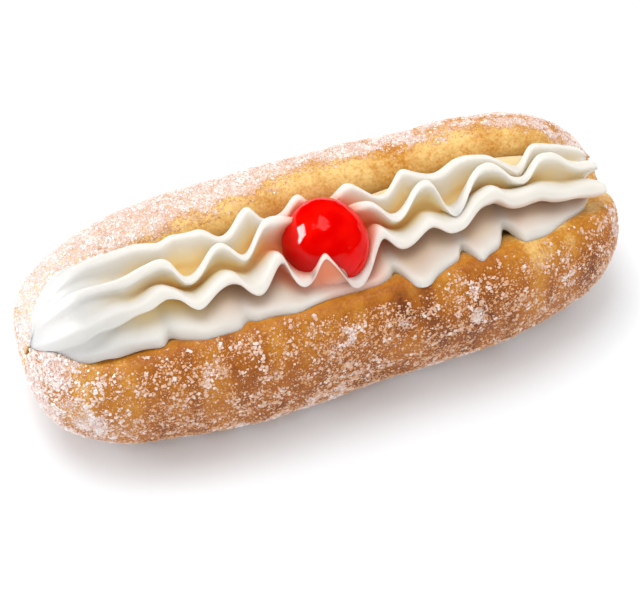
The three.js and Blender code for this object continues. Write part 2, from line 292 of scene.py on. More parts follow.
LIP_BROWN, FRONT_BROWN, BACK_BROWN = 0.34, 0.53, 0.11
FRONT_DARKENS, BACK_DARKENS = 0.19, 0.28
# The paleness at the left end is painted light; the right lip and the back are paler fried crust.
RIGHT_LIP_PALER, LEFT_END_PAINTED_LIGHT, LEFT_BACK_PALER = 0.16, 0.24, 0.05
BLOTCHES, STREAKS, BACK_STREAK_SHARE = 0.16, 0.22, 0.5
# Painted shade: how much darker the crust is painted beside the front crease and towards the foot.
CREASE_PAINTED_SHADE, FOOT_PAINTED_SHADE = 0.4, 0.2
past = past_lip(bun_along, bun_angle)
bun_cover = sugar_cover(bun_rings, bun_along, bun_angle)
# The browning number is the crust's fried colour, and below it also takes painted light and painted shade.
bun_browning_and_painted_light = between(LIP_BROWN, FRONT_BROWN, smoothstep(past, -9, -4))
bun_browning_and_painted_light = bun_browning_and_painted_light + FRONT_DARKENS * smoothstep(past, 0, 30)
right_lip = smoothstep(bun_along, 18, 34) * (1 - smoothstep(past, 2, 14))
bun_browning_and_painted_light = bun_browning_and_painted_light - RIGHT_LIP_PALER * right_lip
bun_browning_and_painted_light = np.where(bun_angle > 0, BACK_BROWN + BACK_DARKENS * smoothstep(past, 0, 40), bun_browning_and_painted_light)
upright = np.stack([bun_along, 0.15 * np.degrees(bun_angle), 0 * bun_along], axis=-1)
streaks = BLOTCHES * soft_noise(bun_rings, 12.0, 31) + STREAKS * soft_noise(upright, 3.5, 32)
bun_browning_and_painted_light = bun_browning_and_painted_light + streaks * np.where(bun_angle > 0, BACK_STREAK_SHARE, 1)
# Painted light: the crust is painted paler towards the left end.
bun_browning_and_painted_light = bun_browning_and_painted_light - LEFT_END_PAINTED_LIGHT * (1 - smoothstep(bun_along, -72, -50))
left_back = np.where(bun_angle > 0, 1 - smoothstep(bun_along, -25, 10), 0)
bun_browning_and_painted_light = bun_browning_and_painted_light - LEFT_BACK_PALER * left_back
# Painted shade: the crust is painted darker just left of the crease down the front.
crease_shade = np.exp(-(((bun_along - 12) / 5) ** 2) - ((np.degrees(bun_angle) + 55) / 9) ** 2)
# Painted shade: the crust is painted darker towards the foot.
foot = 1 - smoothstep(bun_rings[..., 2], 3, 12)
bun_browning_and_painted_light = bun_browning_and_painted_light + CREASE_PAINTED_SHADE * crease_shade + FOOT_PAINTED_SHADE * foot
bun_crumb = (1 - smoothstep(past, -11, -7)) * (1 - smoothstep(bun_along, 58, 66))
for name, values, pole in (
    ("sugar", bun_cover, 0.8),
    ("browning_and_painted_light", np.clip(bun_browning_and_painted_light, 0, 1), 0.3),
    ("crumb", bun_crumb, 0.0),
):
    paint(bun, name, np.append(values, [pole, pole]))

PALE_GOLD, GOLD = (0.82, 0.55, 0.20, 1), (0.57, 0.23, 0.018, 1)
BROWN, DARK_BROWN = (0.39, 0.112, 0.005, 1), (0.17, 0.036, 0.003, 1)
# The crumb inside the cut is painted darker than crumb, as shade in the narrow gap under the cream.
CRUMB_AND_SHADE, SUGAR_FILM = (0.50, 0.27, 0.07, 1), (0.76, 0.56, 0.47, 1)
crust, shader = new_material(bun, "fried_crust")
mottled = math(crust, "MULTIPLY_ADD", noise(crust, 2.0, 3.0, 0.6), 0.5, attribute(crust, "browning_and_painted_light"))
mottled = math(crust, "MULTIPLY_ADD", noise(crust, 0.7, 2.0, 0.6), 0.5, mottled)
ramp = node(crust, "ShaderNodeValToRGB", {"Fac": math(crust, "ADD", mottled, -0.5)})
ramp.color_ramp.elements[0].color = PALE_GOLD
ramp.color_ramp.elements[1].color = DARK_BROWN
ramp.color_ramp.elements.new(0.3).color = GOLD
ramp.color_ramp.elements.new(0.65).color = BROWN
# Crumb inside the cut, in a colour darkened by painted shade.
skin = mixed(crust, attribute(crust, "crumb"), ramp.outputs["Color"], CRUMB_AND_SHADE)
dusting = math(crust, "MULTIPLY_ADD", attribute(crust, "sugar"), 0.42, noise(crust, 0.45, 3.0, 0.7))
dusting = rise(crust, dusting, 0.78, 1.02, 0.85)
colour = mixed(crust, dusting, skin, SUGAR_FILM)
wrinkles = math(crust, "MULTIPLY_ADD", noise(crust, 0.6, 2.0), 0.6, noise(crust, 2.2, 3.0))
bump = node(crust, "ShaderNodeBump", {"Height": wrinkles, "Strength": 0.7, "Distance": 0.0004})
join(
    crust,
    shader,
    {
        "Base Color": colour,
        "Roughness": math(crust, "MULTIPLY_ADD", wrinkles, 0.2, 0.28),
        "Normal": bump.outputs["Normal"],
        "Specular IOR Level": 0.3,
        "Subsurface Weight": 0.10,
        "Subsurface Radius": (1.0, 0.40, 0.10),
        "Subsurface Scale": 0.002,
    },
)
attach(bun, "root")
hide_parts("bun")


# Sugar
# Granulated sugar that the warm bun was rolled in: small clear crystals that stick to the crust, finer
# grains between them, and a few damp clumps. They lie about a third sunk in the skin.
DRAWS_EACH = 6
STEP_ALONG, STEP_ROUND = 0.05, 0.004
CLEAR_OF_TABLE = 0.4
FULL_COVER_SHARE = 0.97


def crust_places(count, seed):
    """Random places on the crust, even over its area and kept with a chance that follows the sugar's cover
    there: points, outward normals, cover and the random draw. The area and the normal come from the cross
    product of two small steps, along the bun and round it."""
    chance = np.random.default_rng(seed)
    draws = DRAWS_EACH * count
    share = chance.uniform(-0.995, 0.995, draws)
    along = np.sign(share) * (1 - (1 - np.abs(share)) ** END_CROWDING) * BUN_LENGTH / 2
    lip_end = CUT_HALF_ANGLE * cut_opening(along) + 0.5 * LIP_ANGLE
    angle = between(lip_end, 2 * np.pi - lip_end, chance.uniform(0, 1, draws))
    angle = np.where(angle > np.pi, angle - 2 * np.pi, angle)
    points = bun_at(along, angle)
    step_along = bun_at(along + STEP_ALONG, angle) - bun_at(along - STEP_ALONG, angle)
    step_round = bun_at(along, angle + STEP_ROUND) - bun_at(along, angle - STEP_ROUND)
    normals = np.cross(step_along, step_round)
    stretch = END_CROWDING * (1 - np.abs(share)) ** (END_CROWDING - 1)
    area = np.linalg.norm(normals, axis=1)
    normals = -normals / np.maximum(area, 1e-9)[:, None]
    weight = area * stretch * sugar_cover(points, along, angle)
    weight = weight * (points[:, 2] > CLEAR_OF_TABLE)
    full = np.quantile(weight, FULL_COVER_SHARE)
    kept = np.flatnonzero(chance.uniform(0, 1, draws) < weight / full)[:count]
    return points[kept], normals[kept], sugar_cover(points[kept], along[kept], angle[kept]), chance


def turns(chance, count):
    """Random turns: unit quaternions from normal draws, written out as three by three matrices."""
    w, x, y, z = np.moveaxis(chance.normal(size=(count, 4)), 1, 0)
    size = np.sqrt(w * w + x * x + y * y + z * z)
    w, x, y, z = w / size, x / size, y / size, z / size
    rows = [
        [1 - 2 * (y * y + z * z), 2 * (x * y - w * z), 2 * (x * z + w * y)],
        [2 * (x * y + w * z), 1 - 2 * (x * x + z * z), 2 * (y * z - w * x)],
        [2 * (x * z - w * y), 2 * (y * z + w * x), 1 - 2 * (x * x + y * y)],
    ]
    return np.moveaxis(np.array(rows), 2, 0)


CHIP = np.array([[1, 1, 1], [1, -1, -1], [-1, 1, -1], [-1, -1, 1]]) * 0.45
CHIP_FACES = np.array([[0, 1, 2], [0, 3, 1], [0, 2, 3], [1, 3, 2]])
BOX = np.array(list(np.ndindex(2, 2, 2))) - 0.5
BOX_FACES = np.array([[0, 1, 3, 2], [4, 6, 7, 5], [0, 4, 5, 1], [2, 3, 7, 6], [0, 2, 6, 4], [1, 5, 7, 3]])
SPLINTER = np.array([[1, 0, 0], [-1, 0, 0], [0, 1, 0], [0, -1, 0], [0, 0, 1], [0, 0, -1]]) * 0.6
SPLINTER_FACES = np.array(
    [[0, 2, 4], [2, 1, 4], [1, 3, 4], [3, 0, 4], [2, 0, 5], [1, 2, 5], [3, 1, 5], [0, 3, 5]]
)


UNEVEN_EDGES = 0.7, 1.15
# Crystal brightness: random, partly a painted glint, more where sugar is thick, and painted light at the left
# end.
SPARKLE, THICK_BRIGHTER, LEFT_END_SUGAR_PAINTED_LIGHT = 0.64, 0.5, 0.4


def crystals(name, corners, faces, centres, sizes, cover, chance):
    """Sugar crystals as one mesh: a small solid for each centre, with its own edge lengths and turn. Each
    keeps one number from dull to bright: a random square, partly whiter sugar and partly a painted glint,
    higher where the sugar lies thick, and higher at the left end as painted light."""
    count, corner_count = len(centres), len(corners)
    edges = sizes[:, None] * chance.uniform(*UNEVEN_EDGES, (count, 3))
    solids = np.einsum("nij,ncj->nci", turns(chance, count), corners * edges[:, None, :])
    points = (centres[:, None, :] + solids).reshape(-1, 3) * MM
    points[:, 2] = np.maximum(points[:, 2], 0)
    numbered = (faces + corner_count * np.arange(count)[:, None, None]).reshape(-1, faces.shape[1])
    mesh = bpy.data.meshes.new(name)
    mesh.from_pydata(points.tolist(), [], numbered.tolist())
    piece = bpy.data.objects.new(name, mesh)
    bpy.context.scene.collection.objects.link(piece)
    bright = SPARKLE * chance.uniform(0, 1, count) ** 2 + THICK_BRIGHTER * smoothstep(cover, 0.6, 1.0)
    # Painted light: crystals at the left end are painted brighter.
    bright = bright + LEFT_END_SUGAR_PAINTED_LIGHT * (1 - smoothstep(centres[:, 0], -72, -48))
    paint(piece, "sparkle", np.repeat(bright, corner_count))
    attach(piece, "root")
    return piece


def sugar_material(piece, name, dull, bright):
    """Clear crystals over a golden crust: tinted where the crust shows through, and nearly white on the
    brighter ones, partly whiter sugar and partly a painted glint, with a glassy surface."""
    sugar, shader = new_material(piece, name)
    tint = rise(sugar, attribute(sugar, "sparkle"), 0.1, 0.8)
    clouded = math(sugar, "MULTIPLY", noise(sugar, 0.5), 0.35)
    tint = math(sugar, "ADD", tint, math(sugar, "ADD", clouded, -0.17))
    join(
        sugar,
        shader,
        {"Base Color": mixed(sugar, tint, dull, bright), "Roughness": 0.3, "Specular IOR Level": 0.3},
    )


def loose_sugar(name, finish, solid, faces, count, seed, smallest, largest, raised, dull, bright):
    """One kind of loose crystals: even random sizes, with each centre raised off the crust by a share of its
    crystal's size."""
    places, outward, cover, chance = crust_places(count, seed)
    sizes = chance.uniform(smallest, largest, len(places))
    centres = places + outward * raised * sizes[:, None]
    sugar_material(crystals(name, solid, faces, centres, sizes, cover, chance), finish, dull, bright)


loose_sugar(
    "sugar_dust", "sugar_fine_dust", CHIP, CHIP_FACES, count=48000, seed=45,
    smallest=0.30, largest=0.50, raised=0.15, dull=(0.62, 0.28, 0.09, 1), bright=(0.75, 0.60, 0.57, 1),
)
loose_sugar(
    "sugar_fine", "sugar_fine_grains", SPLINTER, SPLINTER_FACES, count=24000, seed=41,
    smallest=0.36, largest=0.58, raised=0.2, dull=(0.66, 0.31, 0.11, 1), bright=(0.77, 0.62, 0.59, 1),
)
loose_sugar(
    "sugar_grains", "sugar_golden_grains", SPLINTER, SPLINTER_FACES, count=24000, seed=44,
    smallest=0.42, largest=0.66, raised=0.2, dull=(0.66, 0.32, 0.12, 1), bright=(0.77, 0.62, 0.60, 1),
)
loose_sugar(
    "sugar_crystals", "sugar_clear_crystals", BOX, BOX_FACES, count=16000, seed=42,
    smallest=0.40, largest=0.68, raised=0.25, dull=(0.70, 0.38, 0.18, 1), bright=(0.83, 0.71, 0.67, 1),
)

CLUMPS, CLUMP_CRYSTALS = 3000, 5
CLUMP_SIZES, CLUMP_SPREAD, CLUMP_RAISED = (0.45, 0.85), 0.6, 0.3
places, outward, cover, chance = crust_places(CLUMPS, 43)
places = np.repeat(places, CLUMP_CRYSTALS, axis=0)
outward = np.repeat(outward, CLUMP_CRYSTALS, axis=0)
sizes = chance.uniform(*CLUMP_SIZES, len(places))
loose = chance.normal(0, CLUMP_SPREAD, places.shape)
loose = loose - outward * np.sum(loose * outward, axis=1)[:, None]
centres = places + loose + outward * CLUMP_RAISED * sizes[:, None]
cover = np.repeat(cover, CLUMP_CRYSTALS)
clumps = crystals("sugar_clumps", BOX, BOX_FACES, centres, sizes, cover, chance)
sugar_material(clumps, "sugar_damp_clumps", dull=(0.72, 0.46, 0.32, 1), bright=(0.87, 0.79, 0.76, 1))


# Cherry
# One whole glace cherry, steeped in red syrup until it is clear: soft, slightly flattened and dented, with a
# wet sugar gloss. It is pressed into the cream.
CHERRY_RADIUS = 10.1
CHERRY_SQUASH = 0.96
CHERRY_DIMPLE = 0.5
CHERRY_LOWER_SIDE, CHERRY_FULLNESS = np.array([0.225, -0.80, -0.555]), 1.35
# The side of the cherry that is painted a deeper red, as shade.
CHERRY_PAINTED_SHADE_SIDE = np.array([-0.72, -0.50, -0.48])
cherry_centre = to_part(-1.7, -0.6, 22.6)


def cherry_radius(direction):
    """Distance from the cherry's middle to its skin: a ball with two crossed sine dents that die out
    towards its top and bottom, and a fuller lower right side, as the sixth power of a cosine."""
    x, y, z = np.moveaxis(direction, -1, 0)
    dents = np.sin(3 * x + 2 * y + 1) * np.sin(3 * z - 2 * y)
    lower_side = np.clip(direction @ CHERRY_LOWER_SIDE, 0, 1)
    dents = CHERRY_DIMPLE * dents * np.sqrt(np.maximum(0, 1 - z * z))
    return CHERRY_RADIUS + dents + CHERRY_FULLNESS * lower_side**6


CHERRY_RINGS, CHERRY_AROUND = 110, 180
polar = (np.pi * np.arange(1, CHERRY_RINGS) / CHERRY_RINGS)[:, None]
turn = (2 * np.pi * np.arange(CHERRY_AROUND) / CHERRY_AROUND)[None, :]
skin_way = np.stack(
    np.broadcast_arrays(np.sin(polar) * np.cos(turn), np.sin(polar) * np.sin(turn), np.cos(polar)), axis=-1
)
wrinkles = 0.16 * soft_noise(10 * skin_way + 40, 3.4, 51) + 0.07 * soft_noise(10 * skin_way + 40, 1.7, 52)
ball = skin_way * (cherry_radius(skin_way) + wrinkles)[..., None] * (1, 1, CHERRY_SQUASH) + cherry_centre
pole = np.array([0, 0, CHERRY_RADIUS * CHERRY_SQUASH])
cherry = closed_piece("cherry_skin", ball, cherry_centre + pole, cherry_centre - pole)
# Painted shade: the skin is painted a deeper red towards its lower front left side.
deep = smoothstep(skin_way @ CHERRY_PAINTED_SHADE_SIDE, 0.1, 0.95)
paint(cherry, "deep", np.append(deep, [0, 0.5]))

# The deepest red is painted shade.
CLEAR_RED, BRIGHT_RED, PAINTED_SHADE_RED = (0.66, 0.0, 0.0, 1), (0.76, 0.003, 0.001, 1), (0.46, 0.0, 0.0, 1)
syrup, shader = new_material(cherry, "glace_cherry")
flesh = rise(syrup, noise(syrup, 5.0, 2.0), 0.3, 0.7)
clear = mixed(syrup, flesh, CLEAR_RED, BRIGHT_RED)
join(
    syrup,
    shader,
    {
        "Base Color": mixed(syrup, attribute(syrup, "deep"), clear, PAINTED_SHADE_RED),
        "Roughness": rise(syrup, noise(syrup, 2.0, 2.0), 0.2, 0.8, 0.10),
        "Subsurface Weight": 0.45,
        "Subsurface Radius": (1.0, 0.06, 0.03),
        "Subsurface Scale": 0.005,
        "Specular IOR Level": 0.16,
    },
)
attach(cherry, "root")
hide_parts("cherry")


# Cream
# Whipped cream piped from a star nozzle in side-to-side strokes, so that its ridges lie as ruffled fins along
# the cut. The start is broad and smooth, the end is drawn out in tips, and it is pink at the cherry, partly
# syrup stain and partly painted red light. Its colour also holds painted shade: warm in the grooves, brownish
# on the skirt below the front fin, and greyer towards the left end.
CREAM_START, CREAM_END = -73.5, 66.5
CREAM_ROUND = 13.0
RIDGE_SPACING = np.radians(36)
TOP_RIDGE = np.radians(6)
STAR_FRONT = TOP_RIDGE - 2.5 * RIDGE_SPACING
STAR_BACK = TOP_RIDGE + 1.5 * RIDGE_SPACING
STROKE_LEAN, STROKE_LIFT = 0.39, 0.34
GROOVE_DEPTH, BACK_GROOVE_DEPTH = 0.56, 0.45
ROPE_HEIGHT, ROPE_DIP = 14.5, 5
ROPE_FRONT, ROPE_BACK, ROPE_TOP = 15.5, 16.5, 11.8
ROPE_START_FRONT, ROPE_END_FRONT, ROPE_END_BACK = 0.84, 0.85, 0.76
RIM, FRONT_RIM, FRONT_RIM_END, RIM_AT_FOLD, RIM_UNEVEN = 0.23, 0.30, 0.37, 0.15, 0.22
END_SHIFT = 0.8
BACK_FIN = (
    (-62, 0), (-57.8, 1), (-49.4, 1.6), (-45.7, 1.4), (-42, 0.5), (-39.5, 0), (-38.1, 0.9), (-37, 1.4),
    (-29.8, 1), (-27.8, 0), (-26.2, -1.2), (-24.7, -2), (-23, -2), (-21.8, -1.3), (-20.6, 0.3),
    (-19.5, 1.9), (-18, 2.6), (-16.5, 1.4), (-14.9, -0.2), (-13.1, -1.1), (-9.3, -1.2), (-8.1, -0.4),
    (-7.2, 1), (-6, 2.2), (-4.6, 1.6), (-2, -0.6), (3, -0.8), (5, 0.8), (6.4, 1.8), (7.7, 1.5),
    (9.5, 0.3), (11.7, -1.4), (13.5, -2.7), (15.1, -3.3), (16.6, -3.5), (17.9, -2.9), (19.1, -1.5),
    (19.8, 0.2), (20.7, 1.1), (22.3, 0.5), (24.2, -0.6), (26.3, -1.4), (28.4, -1.9), (30.2, -1.9),
    (32.2, -1.1), (34, 0), (36, 0.3), (38.6, 0.2), (41.3, -0.5), (43.7, -1.4), (45.3, -2.5), (47.5, -3.9),
    (50, -5), (51.6, -5.4), (52.7, -4.5), (53.5, -2), (54.3, -0.5), (55.5, 0), (63, -0.1), (67, -1.3),
    (70, -2.7),
)
MIDDLE_FIN = (
    (-63, 1.3), (-51, 1), (-45.6, 2), (-43.7, 2.5), (-42, 2.5), (-40, 1.7), (-38.4, -0.1), (-36.8, -2.1),
    (-35.2, -3.1), (-33.4, -2.6), (-31.8, -1.1), (-30.5, 1.4), (-29.1, 2.9), (-27.4, 2.9), (-25.6, 1.7),
    (-23.8, 0), (-22.4, -1.4), (-21.2, -2), (-20.1, -1.6), (-19.3, 0), (-18.5, 2.2), (-17.6, 4.1),
    (-16.4, 4.7), (-13, 4.3), (-3, 1.5), (6.2, 2.6), (8.7, 2.6), (10.8, 1.7), (13.2, -0.4), (14.8, -2),
    (16.1, -2.6), (17.6, -2.5), (19.1, -1.2), (20.3, 1.3), (21.7, 2.8), (23.5, 3), (25.3, 2.4), (27, 0.3),
    (28.6, -2.6), (30.3, -4.7), (31.9, -5.5), (33.6, -4.1), (34.7, -1.2), (35.7, 1.1), (37.1, 2.9),
    (39.7, 3.1), (42, 2.1), (44.3, 0.3), (46.2, -1.6), (48.3, -2.4), (50.2, -2.5), (51.5, -0.9),
    (52.5, 1.1), (53.8, 2.4), (57.7, 2.5), (60, 1.5), (62, 0.2), (64.8, -0.6), (70, -1.1),
)
FRONT_FIN = (
    (-62, -0.4), (-51, 0.7), (-47.3, 1.5), (-45, 2.8), (-42.9, 2.8), (-40, 1.4), (-37.3, -1),
    (-35.3, -2.1), (-33.8, -1.8), (-32.4, -0.7), (-30.3, 1), (-28, 2), (-25.7, 1.3), (-23.5, -0.9),
    (-21.5, -2.4), (-20, -2.7), (-18.7, -1.8), (-17.5, 0.8), (-16.3, 3), (-15.2, 3.6), (-14.2, 2.2),
    (-12.5, -0.8), (-10.9, -2.8), (-9.4, -3.9), (-7.7, -4), (-6.7, -3), (-5.8, -1.2), (-4.9, 0.8),
    (-4.3, 1.6), (-3.4, 0), (-1.8, -1.6), (-0.2, -3.5), (1.3, -5.4), (2.4, -6.8), (4, -7.8), (5.8, -7.6),
    (7.4, -5.4), (8.4, -2.4), (9, 0.6), (9.6, 2), (10.6, 1.6), (11.7, 0.6), (13.3, -1), (14.9, -1.9),
    (17, -2.1), (18.6, -1.4), (20.2, -0.3), (22, 0.9), (23.4, 0.6), (25.3, -0.6), (27.3, -1.9),
    (29.3, -2.1), (31.2, -1.7), (32.4, -0.6), (33.6, 1), (34.8, 2.3), (36.7, 2.9), (38.7, 3.4),
    (40.2, 2.7), (42, 1.1), (43.7, 0.1), (45.5, -0.3), (47, -0.2), (51, 0.5), (53.5, 0), (62, 0.1),
    (70, -0.5),
)
SKIRT_EDGE = (
    (-73, -6), (-69.4, -2.5), (-66, -1.3), (-62, -0.9), (-57.3, -0.2), (-49, -0.7), (-45.6, -0.5),
    (-43.8, -2.2), (-41.6, -1.7), (-36.2, 0.9), (-27.9, 0.9), (-25, -0.2), (-22.7, 0.4), (-14.2, 1.2),
    (-5.2, 0.1), (7.1, 0.6), (9.9, -0.5), (12.2, -0.8), (13.8, 2.9), (15, 4.5), (16.6, 5.2), (18.3, 4.9),
    (20.6, 3.3), (22.9, 2.5), (27.1, 1), (29.4, -0.7), (30.5, -0.2), (31.2, 2.4), (31.9, 3.1),
    (33.5, 2.3), (35, 1.1), (36.5, 0.7), (38.6, 0.9), (39.6, -2), (41, -6), (42.2, -6), (43.2, -2),
    (43.8, 0.7), (48.4, 0.4), (51.5, -0.1), (58.5, -2), (62, -3.2), (66.3, -5.9),
)
SKIRT_CREASES = ((-43.6, 1.0), (-25.5, 0.9), (12.3, 2.0), (29.6, 2.4), (38.6, 1.0))


def through(edge, along):
    """A ruffled edge through its measured points, each a place along the bun and a reach sideways: the
    straight runs between them, rounded by a Gaussian mean over a millimetre or two of the bun."""
    places, reaches = np.array(edge).T
    offsets = np.linspace(-2, 2, 17)
    weights = np.exp(-((offsets / 0.75) ** 2) / 2)
    return sum(w * np.interp(along + o, places, reaches) for o, w in zip(offsets, weights)) / weights.sum()


def beside_rim(angle, thick):
    """0 along the thick rounded rim of a fin and 1 in the groove beside it: t^5 / (t^5 + thick^5) of the way
    t from the rim, with 0.5 in the middle of the groove, scaled to reach 1 there."""
    t = (angle - TOP_RIDGE) / RIDGE_SPACING
    t = np.abs(t - np.round(t)) ** 5
    return t / (t + thick**5) * (0.5**5 + thick**5) / 0.5**5


def rim_thickness(along, angle):
    """Half thickness of the fins' rims as a share of their spacing: uneven along each, thickest on the
    front fin and thin where that fin folds round the cherry."""
    front = smoothstep(-np.degrees(angle), 8, 20)
    fold = np.exp(-(((along + 4) / 7) ** 4))
    broad = between(FRONT_RIM, FRONT_RIM_END, smoothstep(along, 30, 50))
    nearest = np.round((angle - TOP_RIDGE) / RIDGE_SPACING)
    uneven = soft_noise(np.stack(np.broadcast_arrays(along, 40 * nearest, 0), axis=-1), 5.0, 63)
    return between(RIM, between(broad, RIM_AT_FOLD, fold), front) * (1 + RIM_UNEVEN * uneven)


def stroke(along, angle):
    """Sideways reach of the strokes round the rope: each fin's own ruffle at its rim, a smooth step from one
    to the next, less in the grooves, and none at the skirt's foot and the back."""
    fin = (angle - TOP_RIDGE) / RIDGE_SPACING
    ruffle = between(through(FRONT_FIN, along), through(MIDDLE_FIN, along), smoothstep(fin, -0.8, -0.2))
    ruffle = between(ruffle, through(BACK_FIN, along), smoothstep(fin, 0.2, 0.8))
    held = smoothstep(fin, 1.1, 1.9) + 1 - smoothstep(fin, -2.0, -1.1)
    return ruffle * (1 - held) * between(1, 0.55, beside_rim(angle, rim_thickness(along, angle)))


def near_end(along):
    """0 over most of the bun and 1 at the open end."""
    return smoothstep(along, 46, 66)


def rope_height(along):
    """Height of the rope's middle above the bun's axis, dipping at both ends."""
    start = 1 - smoothstep(along, CREAM_START, CREAM_START + 16)
    return ROPE_HEIGHT - ROPE_DIP * start - ROPE_DIP * near_end(along)


def ridge_reach(along, angle):
    """Reach of the ridges from the rope's middle: an ellipse with its own half width at front and back."""
    in_front = np.sin(angle) < 0
    start = between(np.where(in_front, ROPE_START_FRONT, 1.0), 1, smoothstep(along, -60, -40))
    end = between(1, np.where(in_front, ROPE_END_FRONT, ROPE_END_BACK), near_end(along))
    side = np.where(in_front, ROPE_FRONT, ROPE_BACK) * start * end
    return 1 / np.hypot(np.sin(angle) / side, np.cos(angle) / ROPE_TOP)


def cream_reach(along, angle):
    """Reach of the cream from the rope's middle, and how deep in a groove each place lies. On the star it
    is the ridges' reach less the groove between the rims, and below it the wedge between the cut's walls
    and its floor."""
    on_star = (angle > STAR_FRONT) & (angle < STAR_BACK)
    behind = smoothstep(angle, TOP_RIDGE + RIDGE_SPACING, STAR_BACK)
    depth = between(GROOVE_DEPTH, BACK_GROOVE_DEPTH, behind) * between(0.10, 1, smoothstep(along, -66, -38))
    depth = depth * between(1, 0.75, near_end(along))
    pushed_out = np.exp(-(((along + 3) / 9) ** 4)) * (angle < TOP_RIDGE - RIDGE_SPACING)
    depth = depth * between(1, 0.3, pushed_out)
    full = ridge_reach(along, angle)
    groove = depth * np.where(on_star, beside_rim(angle, rim_thickness(along, angle)), 1)
    rope = full * (1 - groove)
    middle = rope_height(along)
    slope = np.tan(CUT_HALF_ANGLE * cut_opening(along))
    wall = middle * slope / np.maximum(0.05, np.abs(np.sin(angle)) - np.cos(angle) * slope)
    to_floor = (middle - CUT_FLOOR_RADIUS) / np.maximum(0.05, -np.cos(angle))
    wedge = np.where(np.cos(angle) < -0.2, np.minimum(wall, to_floor), wall)
    past_star = np.where(angle > 0, angle - STAR_BACK, STAR_FRONT - angle)
    reach = np.where(on_star, rope, between(rope, wedge, smoothstep(past_star, 0, np.radians(18))))
    return reach, groove


def skirt_lap(along, angle):
    """How far the front skirt laps over the lip: the skirt's edge at its foot, gone at the fin above it, less
    a narrow Gaussian crease between its folds that runs higher up."""
    down = -np.degrees(angle)
    creases = sum(deep * np.exp(-(((along - place) / 1.5) ** 2)) for place, deep in SKIRT_CREASES)
    lap = smoothstep(down, 40, 64) * through(SKIRT_EDGE, along) - smoothstep(down, 32, 50) * creases
    return lap * (1 - smoothstep(down, 80, 100))


CREAM_ROWS_START, CREAM_ROWS_BODY, CREAM_ROWS_END = 36, 480, 16
CREAM_STAR_STEPS, CREAM_WEDGE_STEPS = 136, 44
CREAM_END_MIDDLE = CREAM_END - 3
TIP_LENGTH, TIP_ROUND, WEDGE_SHORTER = 3.2, 2.5, 1.0
FIN_UNDERCUT = np.radians(13)
LAP_FORWARD, LAP_UP = 0.92, 0.40
SHAKE = 0.5
cream_angle = np.concatenate(
    [
        np.linspace(STAR_FRONT, STAR_BACK, CREAM_STAR_STEPS, endpoint=False),
        np.linspace(STAR_BACK, STAR_FRONT + 2 * np.pi, CREAM_WEDGE_STEPS, endpoint=False),
    ]
)[None, :]
cream_angle = np.where(cream_angle > np.pi, cream_angle - 2 * np.pi, cream_angle)
body_start = CREAM_START + CREAM_ROUND
quarter = np.linspace(0, np.pi / 2, CREAM_ROWS_START + 1)[1:, None]
body = np.linspace(0, 1, CREAM_ROWS_BODY + 1)[1:, None]
inwards = np.linspace(0, 1, CREAM_ROWS_END + 1)[1:-1, None]
fin = (cream_angle - TOP_RIDGE) / RIDGE_SPACING
on_fins = smoothstep(fin, -1.9, -1.4) * (1 - smoothstep(fin, 1.0, 1.4))
tip = CREAM_END + TIP_LENGTH * (1 - beside_rim(cream_angle, 0.28)) * on_fins - WEDGE_SHORTER * (1 - on_fins)
wide = np.ones_like(cream_angle)
cream_along = np.concatenate(
    [
        (body_start - CREAM_ROUND * np.cos(quarter)) * wide,
        between(body_start, tip, body),
        between(tip, CREAM_END_MIDDLE, inwards),
    ]
)
cream_share = np.concatenate(
    [np.sin(quarter) ** 1.3 * wide, np.ones_like(body) * wide, (1 - inwards) * wide]
)
blunt = np.clip((cream_along - tip + TIP_ROUND) / TIP_ROUND, 0, 1)
cream_share = cream_share * between(0.86, 1, superellipse(blunt, 2.2))
cream_angle = np.broadcast_to(cream_angle, cream_along.shape)
reach, groove = cream_reach(cream_along, cream_angle)
reach = reach * cream_share
sway = stroke(cream_along, cream_angle)
undercut = cream_angle + FIN_UNDERCUT * groove / GROOVE_DEPTH * on_fins
lap = skirt_lap(cream_along, cream_angle)
place = np.stack([cream_along, 0.35 * np.degrees(cream_angle), 0 * cream_along], axis=-1)
shaky = SHAKE * smoothstep(np.cos(cream_angle), -0.1, 0.5) * smoothstep(cream_along, -66, -45)
shaky = shaky * (1 - smoothstep(cream_along, 58, 66))
cream_rings = to_part(
    cream_along + STROKE_LEAN * sway,
    reach * np.sin(undercut) + sway - END_SHIFT * near_end(cream_along) - LAP_FORWARD * lap
    + shaky * soft_noise(place, 6.5, 61),
    rope_height(cream_along) + reach * np.cos(undercut) + STROKE_LIFT * sway + LAP_UP * lap
    + shaky * soft_noise(place, 6.0, 62),
)

LAP = np.array([-0.24, -0.60, 0.763])
RIM_CLEAR, FACE_CLEAR = 1.4, 0.7


def onto_cherry(points, clear):
    """How far points must move along the lap, up and out over the cherry, to lie on its skin grown by the
    clearance: from their own depth to its near side, found in three closer and closer steps, and 0 beside
    it."""
    offset = points - cherry_centre
    forward = offset @ LAP
    aside = offset - forward[..., None] * LAP
    radius = CHERRY_RADIUS
    for closer in range(3):
        near_side = np.sqrt(np.maximum(0, (radius + clear) ** 2 - np.sum(aside**2, axis=-1)))
        skin_place = aside + near_side[..., None] * LAP
        radius = cherry_radius(skin_place / np.linalg.norm(skin_place, axis=-1, keepdims=True))
    return np.maximum(0, near_side - forward) * smoothstep(near_side, 0, 2)


